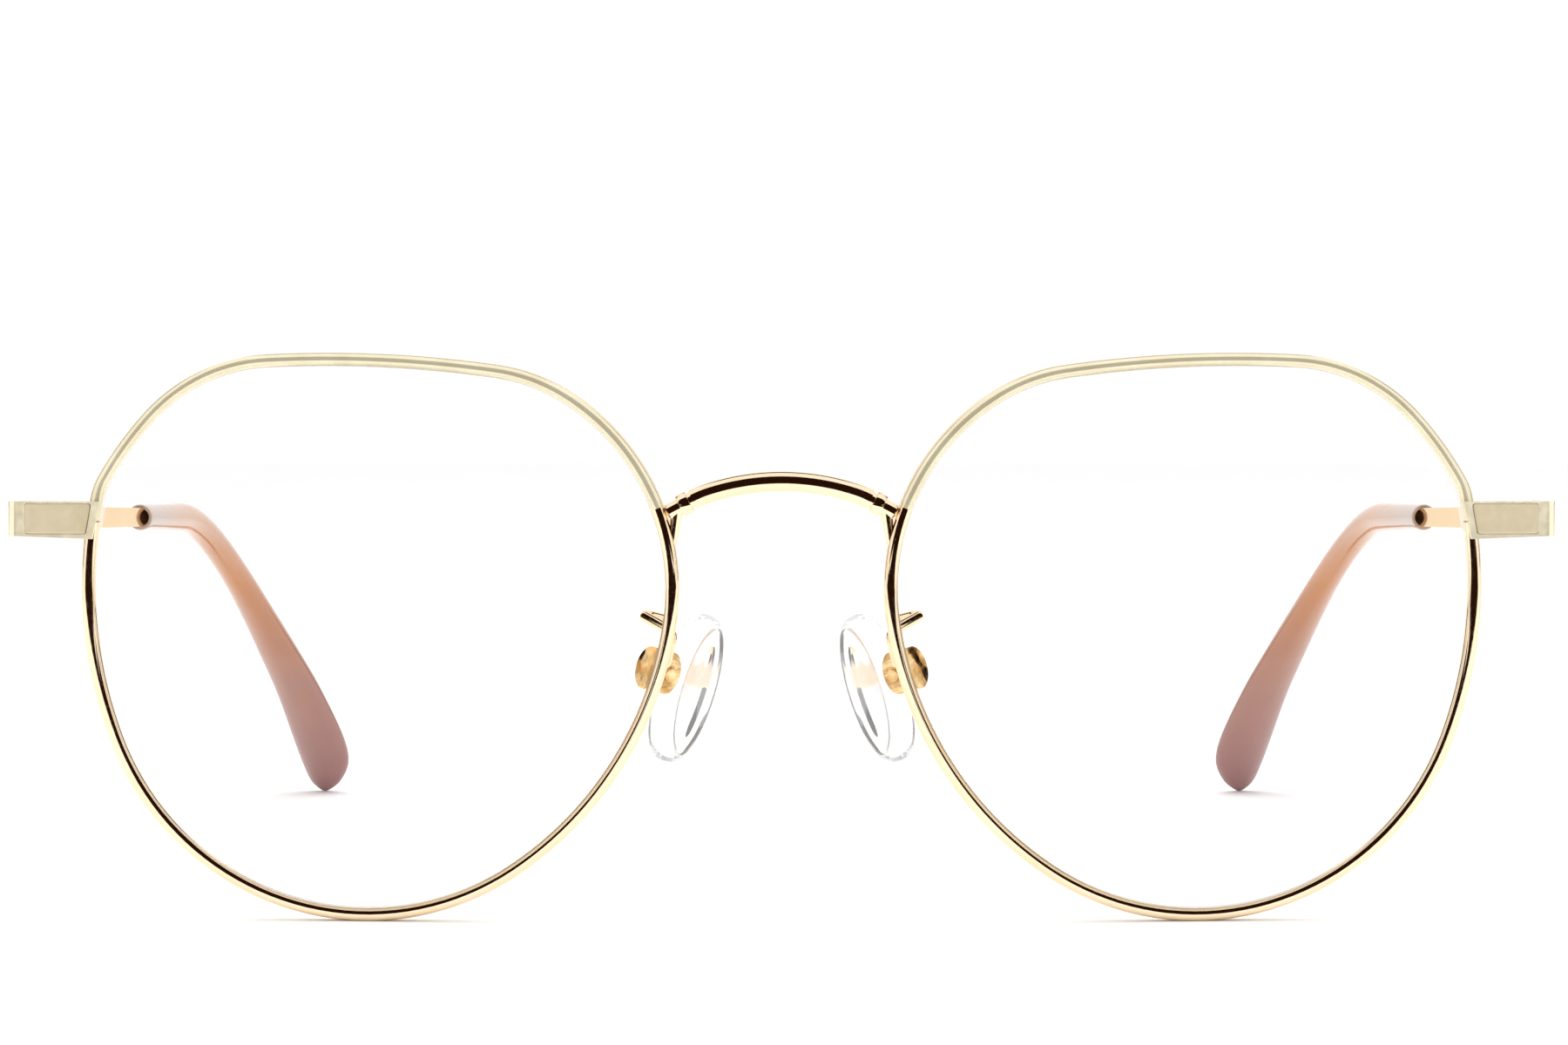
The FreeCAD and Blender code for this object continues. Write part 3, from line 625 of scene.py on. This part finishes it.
def cad_copy(node):
    """The CAD node's shape as a clean mesh: shared corners, flat faces whole."""
    bm = bmesh.new()
    bm.from_mesh(frame["nodes"][node].data)
    bmesh.ops.remove_doubles(bm, verts=bm.verts, dist=2e-6)
    bmesh.ops.dissolve_limit(bm, angle_limit=math.radians(0.6), verts=bm.verts, edges=bm.edges)
    mesh = bpy.data.meshes.new(node)
    bm.to_mesh(mesh)
    bm.free()
    if "custom_normal" in mesh.attributes:
        mesh.attributes.remove(mesh.attributes["custom_normal"])
    smooth(mesh, 30.0)
    return mesh


# ---------------------------------------------------------------- materials


def new_material(name, **settings):
    """Material with one Principled shader and these socket values."""
    material = bpy.data.materials.new(name)
    material.use_nodes = True
    shader = material.node_tree.nodes["Principled BSDF"]
    for socket, value in settings.items():
        shader.inputs[socket.replace("_", " ")].default_value = value
    return material


def place_of(material, stretch):
    """Object coordinates, stretched, for a pattern in real sizes."""
    nodes, links = material.node_tree.nodes, material.node_tree.links
    coordinates = nodes.new("ShaderNodeTexCoord")
    mapping = nodes.new("ShaderNodeMapping")
    mapping.inputs["Scale"].default_value = stretch
    links.new(coordinates.outputs["Object"], mapping.inputs["Vector"])
    return mapping.outputs["Vector"]


def pattern(material, size_mm, detail=3.0, stretch=(1.0, 1.0, 1.0)):
    """Soft noise with features of about this size."""
    noise = material.node_tree.nodes.new("ShaderNodeTexNoise")
    noise.inputs["Scale"].default_value = 1.0 / (size_mm * MM)
    noise.inputs["Detail"].default_value = detail
    material.node_tree.links.new(place_of(material, stretch), noise.inputs["Vector"])
    return noise.outputs["Fac"]


def ramp(material, source, stops, socket):
    """Colours or greys by the source's value, into a socket of the shader."""
    nodes, links = material.node_tree.nodes, material.node_tree.links
    node = nodes.new("ShaderNodeValToRGB")
    while len(node.color_ramp.elements) < len(stops):
        node.color_ramp.elements.new(0.5)
    for element, (position, colour) in zip(node.color_ramp.elements, stops):
        element.position = position
        element.color = (*colour, 1.0) if isinstance(colour, tuple) else (colour, colour, colour, 1.0)
    links.new(source, node.inputs["Fac"])
    links.new(node.outputs["Color"], nodes["Principled BSDF"].inputs[socket])


def bump(material, source, height_mm):
    """Fine relief of about this height."""
    nodes, links = material.node_tree.nodes, material.node_tree.links
    node = nodes.new("ShaderNodeBump")
    node.inputs["Strength"].default_value = 1.0
    node.inputs["Distance"].default_value = height_mm * MM
    links.new(source, node.inputs["Height"])
    links.new(node.outputs["Normal"], nodes["Principled BSDF"].inputs["Normal"])


def make_gold():
    """Polished gold plating: faint drift in colour, hairline polishing marks."""
    gold = new_material("polished_gold", Metallic=1.0, Specular_Tint=(0.97, 0.84, 0.68, 1.0))
    ramp(gold, pattern(gold, 6.0), [(0.3, (0.97, 0.77, 0.52)), (0.7, (1.0, 0.83, 0.60))], "Base Color")
    marks = pattern(gold, 0.35, 4.0, (1.0, 0.25, 1.0))
    ramp(gold, marks, [(0.35, 0.045), (0.7, 0.11)], "Roughness")
    bump(gold, marks, 0.0006)
    return gold


def make_cast_gold():
    """Small cast fittings: deeper gold with a lightly hammered skin."""
    cast = new_material("cast_gold", Metallic=1.0, Specular_Tint=(0.9, 0.72, 0.5, 1.0))
    ramp(cast, pattern(cast, 1.4), [(0.35, (0.50, 0.27, 0.09)), (0.62, (0.98, 0.72, 0.38))], "Base Color")
    ramp(cast, pattern(cast, 0.4), [(0.35, 0.06), (0.7, 0.16)], "Roughness")
    bump(cast, pattern(cast, 2.2, 0.0), 0.35)
    return cast


def make_pale_gold():
    """Pale gold of the end pieces, which frames their enamel field."""
    pale = new_material("pale_gold", Metallic=0.7, IOR=1.5)
    ramp(pale, pattern(pale, 4.0), [(0.3, (0.98, 0.86, 0.60)), (0.7, (1.0, 0.92, 0.70))], "Base Color")
    ramp(pale, pattern(pale, 0.8), [(0.3, 0.1), (0.7, 0.16)], "Roughness")
    bump(pale, pattern(pale, 2.0, 2.0), 0.002)
    return pale


def make_enamel(name, metal, darker, lighter):
    """Cream enamel with a metallic pearl: cloudy depth, smooth poured surface."""
    enamel = new_material(name, Metallic=metal, IOR=1.5, Coat_Weight=0.4)
    ramp(enamel, pattern(enamel, 2.5, 4.0), [(0.3, darker), (0.7, lighter)], "Base Color")
    ramp(enamel, pattern(enamel, 0.6), [(0.3, 0.13), (0.7, 0.22)], "Roughness")
    bump(enamel, pattern(enamel, 1.2, 2.0), 0.003)
    return enamel


def make_steel():
    """Small screws: bright steel with turning marks."""
    steel = new_material("screw_steel", Metallic=1.0)
    ramp(steel, pattern(steel, 1.0), [(0.3, (0.62, 0.56, 0.47)), (0.7, (0.74, 0.68, 0.58))], "Base Color")
    marks = pattern(steel, 0.12, 3.0, (1.0, 1.0, 6.0))
    ramp(steel, marks, [(0.3, 0.16), (0.7, 0.34)], "Roughness")
    bump(steel, marks, 0.003)
    return steel


def make_socket_shade_ring():
    """Ring at the foot of the tip's socket, near-black brown: painted shade that stands for the dark opening
    of the socket.
    """
    ring = new_material("dark_ring", Metallic=0.25, IOR=1.5)
    ramp(ring, pattern(ring, 0.8), [(0.3, (0.085, 0.035, 0.02)), (0.7, (0.16, 0.075, 0.045))], "Base Color")
    ramp(ring, pattern(ring, 0.3), [(0.3, 0.14), (0.7, 0.26)], "Roughness")
    bump(ring, pattern(ring, 0.4), 0.003)
    return ring


def make_rose_plastic():
    """Translucent acetate, clear pink at the mouth, amber along the stem, dusty rose at the paddle."""
    rose = new_material("rose_acetate", IOR=1.49, Transmission_Weight=0.2)
    nodes, links = rose.node_tree.nodes, rose.node_tree.links
    along = nodes.new("ShaderNodeAttribute")
    along.attribute_name = "along"
    cloud = nodes.new("ShaderNodeMath")
    cloud.operation = "MULTIPLY_ADD"
    cloud.inputs[1].default_value = 0.09
    links.new(pattern(rose, 5.0, 3.0, (1.0, 0.4, 1.0)), cloud.inputs[0])
    links.new(along.outputs["Fac"], cloud.inputs[2])
    stops = [
        (0.02, (0.58, 0.44, 0.37)),
        (0.12, (0.57, 0.40, 0.30)),
        (0.30, (0.64, 0.31, 0.135)),
        (0.62, (0.60, 0.26, 0.11)),
        (0.84, (0.44, 0.225, 0.17)),
        (1.0, (0.37, 0.18, 0.165)),
    ]
    ramp(rose, cloud.outputs["Value"], stops, "Base Color")
    ramp(rose, pattern(rose, 1.5), [(0.3, 0.06), (0.7, 0.16)], "Roughness")
    bump(rose, pattern(rose, 3.0, 2.0), 0.006)
    return rose


def make_pad_core():
    """Clear stiffener inside the pad, hardly visible in it."""
    core = new_material("pad_core", IOR=1.35, Alpha=0.12)
    ramp(core, pattern(core, 2.0), [(0.3, (0.93, 0.93, 0.92)), (0.7, (0.99, 0.99, 0.98))], "Base Color")
    ramp(core, pattern(core, 0.8), [(0.3, 0.05), (0.7, 0.12)], "Roughness")
    bump(core, pattern(core, 0.8), 0.002)
    return core


def make_clear_skin(name, ior, gloss, size_mm, haze):
    """Clear body: what is behind it shows through, and it mirrors more at a slant."""
    skin = new_material(name, Base_Color=(1.0, 1.0, 1.0, 1.0), Metallic=1.0)
    nodes, links = skin.node_tree.nodes, skin.node_tree.links
    ramp(skin, pattern(skin, size_mm), [(0.3, 0.0), (0.7, haze)], "Roughness")
    clear = nodes.new("ShaderNodeBsdfTransparent")
    clear.inputs["Color"].default_value = (1.0, 1.0, 1.0, 1.0)
    slant = nodes.new("ShaderNodeFresnel")
    slant.inputs["IOR"].default_value = ior
    mix = nodes.new("ShaderNodeMixShader")
    share = nodes.new("ShaderNodeMath")
    share.operation = "MULTIPLY"
    share.inputs[1].default_value = gloss
    links.new(slant.outputs["Fac"], share.inputs[0])
    links.new(share.outputs["Value"], mix.inputs["Fac"])
    links.new(clear.outputs["BSDF"], mix.inputs[1])
    links.new(nodes["Principled BSDF"].outputs["BSDF"], mix.inputs[2])
    links.new(mix.outputs["Shader"], nodes["Material Output"].inputs["Surface"])
    return skin


def make_lens_edge():
    """Ground edge of the lens: pale frosting, mostly hidden in the rim's groove."""
    edge = new_material("lens_edge", IOR=1.3, Alpha=0.6)
    ramp(edge, pattern(edge, 0.5), [(0.3, (0.93, 0.92, 0.89)), (0.7, (0.98, 0.97, 0.94))], "Base Color")
    ramp(edge, pattern(edge, 0.2), [(0.3, 0.35), (0.7, 0.5)], "Roughness")
    bump(edge, pattern(edge, 0.1), 0.003)
    return edge


GOLD = make_gold()
CAST_GOLD = make_cast_gold()
PALE_GOLD = make_pale_gold()
ENAMEL = make_enamel("cream_enamel", 0.5, (0.78, 0.69, 0.47), (0.85, 0.78, 0.56))
FIELD_ENAMEL = make_enamel("field_enamel", 0.3, (0.68, 0.58, 0.37), (0.76, 0.65, 0.44))
STEEL = make_steel()
# The tip ring's near-black brown is painted shade of the socket's opening.
SOCKET_SHADE = make_socket_shade_ring()
ROSE = make_rose_plastic()
SILICONE = make_clear_skin("clear_silicone", 1.28, 0.8, 2.0, 0.06)
PAD_CORE = make_pad_core()
LENS = make_clear_skin("clear_lens", 1.3, 0.3, 4.0, 0.03)
LENS_EDGE = make_lens_edge()


# ---------------------------------------------------------------- pieces


def add_piece(name, mesh, node, materials):
    """A finished piece that stands for a CAD node and moves with that node's body."""
    for material in materials:
        mesh.materials.append(material)
    piece = bpy.data.objects.new(name, mesh)
    bpy.context.scene.collection.objects.link(piece)
    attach(piece, frame["nodes"][node]["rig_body"])
    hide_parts(node)
    return piece


def add_bevel(piece, width_mm, segments):
    """Rounded edges, as on a part that has been tumbled and polished."""
    modifier = piece.modifiers.new("edges", "BEVEL")
    modifier.width = width_mm * MM
    modifier.segments = segments
    modifier.limit_method = "ANGLE"
    modifier.angle_limit = math.radians(35.0)
    modifier.harden_normals = True


fine_meshes = {
    "rim": (make_rim, "gold", [GOLD]),
    "rim_enamel": (make_rim_enamel, "cream_enamel", [ENAMEL]),
    "lens": (make_lens, "clear_lens", [LENS, LENS_EDGE]),
    "temple_tip": (make_temple_tip, "rose_plastic", [ROSE]),
    "nose_pad": (make_nose_pad, "clear_silicone", [SILICONE]),
}
# node: (slot, material, edge width, segments)
edged_copies = {
    "endpiece": ("gold", PALE_GOLD, 0.16, 4),
    "endpiece_enamel": ("cream_enamel", FIELD_ENAMEL, 0.12, 4),
    "rim_lock_upper": ("gold", GOLD, 0.08, 3),
    "rim_lock_lower": ("gold", GOLD, 0.08, 3),
    "rim_lock_screw": ("screw_steel", STEEL, 0.04, 2),
    "hinge_front": ("gold", GOLD, 0.06, 3),
    "hinge_temple": ("gold", GOLD, 0.06, 3),
    "hinge_screw": ("screw_steel", STEEL, 0.05, 2),
    "temple_arm": ("gold", GOLD, 0.1, 3),
    # The tip ring's near-black brown is painted shade of the socket's opening.
    "tip_ring": ("dark_ring", SOCKET_SHADE, 0.06, 2),
    "pad_arm": ("gold", GOLD, 0.03, 2),
    "pad_box": ("gold", CAST_GOLD, 0.2, 4),
    "pad_screw": ("screw_steel", CAST_GOLD, 0.05, 2),
    "pad_insert": ("pad_core", PAD_CORE, 0.08, 2),
}

for name, (make, slot_name, materials) in fine_meshes.items():
    left_mesh = make()
    for side, mesh in zip(SIDES, (left_mesh, mirrored(left_mesh))):
        add_piece(f"{name}_{side}_fine", mesh, f"{name}_{side}", materials)
add_piece("bridge_fine", make_bridge(), "bridge", [GOLD])
for name, (slot_name, material, width, segments) in edged_copies.items():
    for side in SIDES:
        node = f"{name}_{side}"
        piece = add_piece(f"{node}_fine", cad_copy(node), node, [material])
        add_bevel(piece, width, segments)


# ---------------------------------------------------------------- stage, light and camera


def add_sheet(name, corners, material):
    """Flat stage sheet through four corners, in millimetres."""
    mesh = bpy.data.meshes.new(name)
    mesh.from_pydata([Vector(corner) * MM for corner in corners], [], [(0, 1, 2, 3)])
    mesh.materials.append(material)
    sheet = bpy.data.objects.new(name, mesh)
    bpy.context.scene.collection.objects.link(sheet)
    return sheet


def make_floor_material():
    """Matt white, hardly uneven."""
    floor = new_material("pale_floor", Roughness=0.9, IOR=1.3)
    ramp(floor, pattern(floor, 40.0), [(0.3, (0.93, 0.93, 0.93)), (0.7, (0.95, 0.95, 0.95))], "Base Color")
    return floor


def make_dark_material():
    """Nearly black brown, the same from any side."""
    dark = bpy.data.materials.new("dark_studio")
    dark.use_nodes = True
    nodes = dark.node_tree.nodes
    nodes.remove(nodes["Principled BSDF"])
    glow = nodes.new("ShaderNodeEmission")
    glow.inputs["Color"].default_value = (0.018, 0.006, 0.003, 1.0)
    dark.node_tree.links.new(glow.outputs["Emission"], nodes["Material Output"].inputs["Surface"])
    return dark


def hide_from_light(sheet):
    """The dark studio beyond the light table shows in polished surfaces only."""
    sheet.visible_camera = False
    sheet.visible_diffuse = False
    sheet.visible_shadow = False
    sheet.visible_transmission = False


FLOOR_REACH = 3000.0
WORLD_STRENGTH = 1.06
SHELF_Y = -129.0
SHELF_Z = 14.0
WALL_Y = -600.0
WALL_TOP = 1130.0
HALF_WALL = 850.0
SHELF_NEAR_HALF_WIDTH = HALF_WALL / 4
# The dark wall's foot is narrow, so that the flat end pieces mirror the white studio beside it
FOOT_HALF_WIDTH = 215.0
FOOT_TOP = 40.0
# Cards behind, off to the sides and high up, draw the thin outlines of the polished metal
BACK_REACH = 1500.0
BACK_FROM_DEG = 36
BACK_TO_DEG = 62
BACK_TOP = 1400.0
LIGHT_SIZE_M = 1.0
LIGHT_WATTS = 4.0
LIGHT_PLACE_M = (0.0, 0.0, 0.9)
CAMERA_PLACE_M = (0.000216, -0.465, 0.0467)
CAMERA_DOWN_DEG = 1.54
CAMERA_LENS = 102.0
CAMERA_SENSOR = 36.0

world = bpy.data.worlds.new("white_studio")
world.use_nodes = True
background = world.node_tree.nodes["Background"]
background.inputs["Color"].default_value = (1.0, 1.0, 1.0, 1.0)
background.inputs["Strength"].default_value = WORLD_STRENGTH
scene = bpy.context.scene
scene.world = world
scene.view_settings.view_transform = "Standard"
scene.view_settings.look = "None"
scene.view_settings.exposure = 0.0
scene.view_settings.gamma = 1.0

floor_corners = [(x * FLOOR_REACH, y * FLOOR_REACH, 0.0) for x, y in ((-1, -1), (1, -1), (1, 1), (-1, 1))]
add_sheet("floor", floor_corners, make_floor_material())
DARK = make_dark_material()


def dark_card(name, corners):
    """One dark sheet that only polished surfaces see."""
    hide_from_light(add_sheet(name, corners, DARK))


def wall_card(name, half_width, low, high):
    """Upright dark sheet in front of the glasses, behind the camera."""
    dark_card(
        name,
        [
            (-half_width, WALL_Y, low),
            (half_width, WALL_Y, low),
            (half_width, WALL_Y, high),
            (-half_width, WALL_Y, high),
        ],
    )


dark_card(
    "dark_shelf",
    [
        (-HALF_WALL, WALL_Y, SHELF_Z),
        (HALF_WALL, WALL_Y, SHELF_Z),
        (SHELF_NEAR_HALF_WIDTH, SHELF_Y, SHELF_Z),
        (-SHELF_NEAR_HALF_WIDTH, SHELF_Y, SHELF_Z),
    ],
)
wall_card("dark_wall", HALF_WALL, FOOT_TOP, WALL_TOP)
wall_card("dark_wall_foot", FOOT_HALF_WIDTH, SHELF_Z, FOOT_TOP)
for side, sign in (("left", -1), ("right", 1)):
    near, far = [
        (sign * BACK_REACH * math.sin(math.radians(a)), BACK_REACH * math.cos(math.radians(a)))
        for a in (BACK_FROM_DEG, BACK_TO_DEG)
    ]
    dark_card(f"dark_side_{side}", [(*near, 0.0), (*far, 0.0), (*far, BACK_TOP), (*near, BACK_TOP)])
dark_card("dark_back_high", [(-430, 1200, 900), (430, 1200, 900), (430, 900, 1500), (-430, 900, 1500)])

top_light = bpy.data.lights.new("top_softbox", "AREA")
top_light.shape = "SQUARE"
top_light.size = LIGHT_SIZE_M
top_light.energy = LIGHT_WATTS
top_lamp = bpy.data.objects.new("top_softbox", top_light)
# The box lights the surfaces but isn't mirrored in them, so that polished tops keep their colour
top_lamp.visible_glossy = False
top_lamp.location = LIGHT_PLACE_M
scene.collection.objects.link(top_lamp)

camera_data = bpy.data.cameras.new("camera")
camera_data.lens = CAMERA_LENS
camera_data.sensor_width = CAMERA_SENSOR
camera_data.clip_start = 0.01
camera = bpy.data.objects.new("camera", camera_data)
camera.location = CAMERA_PLACE_M
camera.rotation_euler = (math.radians(90 - CAMERA_DOWN_DEG), 0.0, 0.0)
scene.collection.objects.link(camera)
scene.camera = camera

bpy.context.view_layer.update()
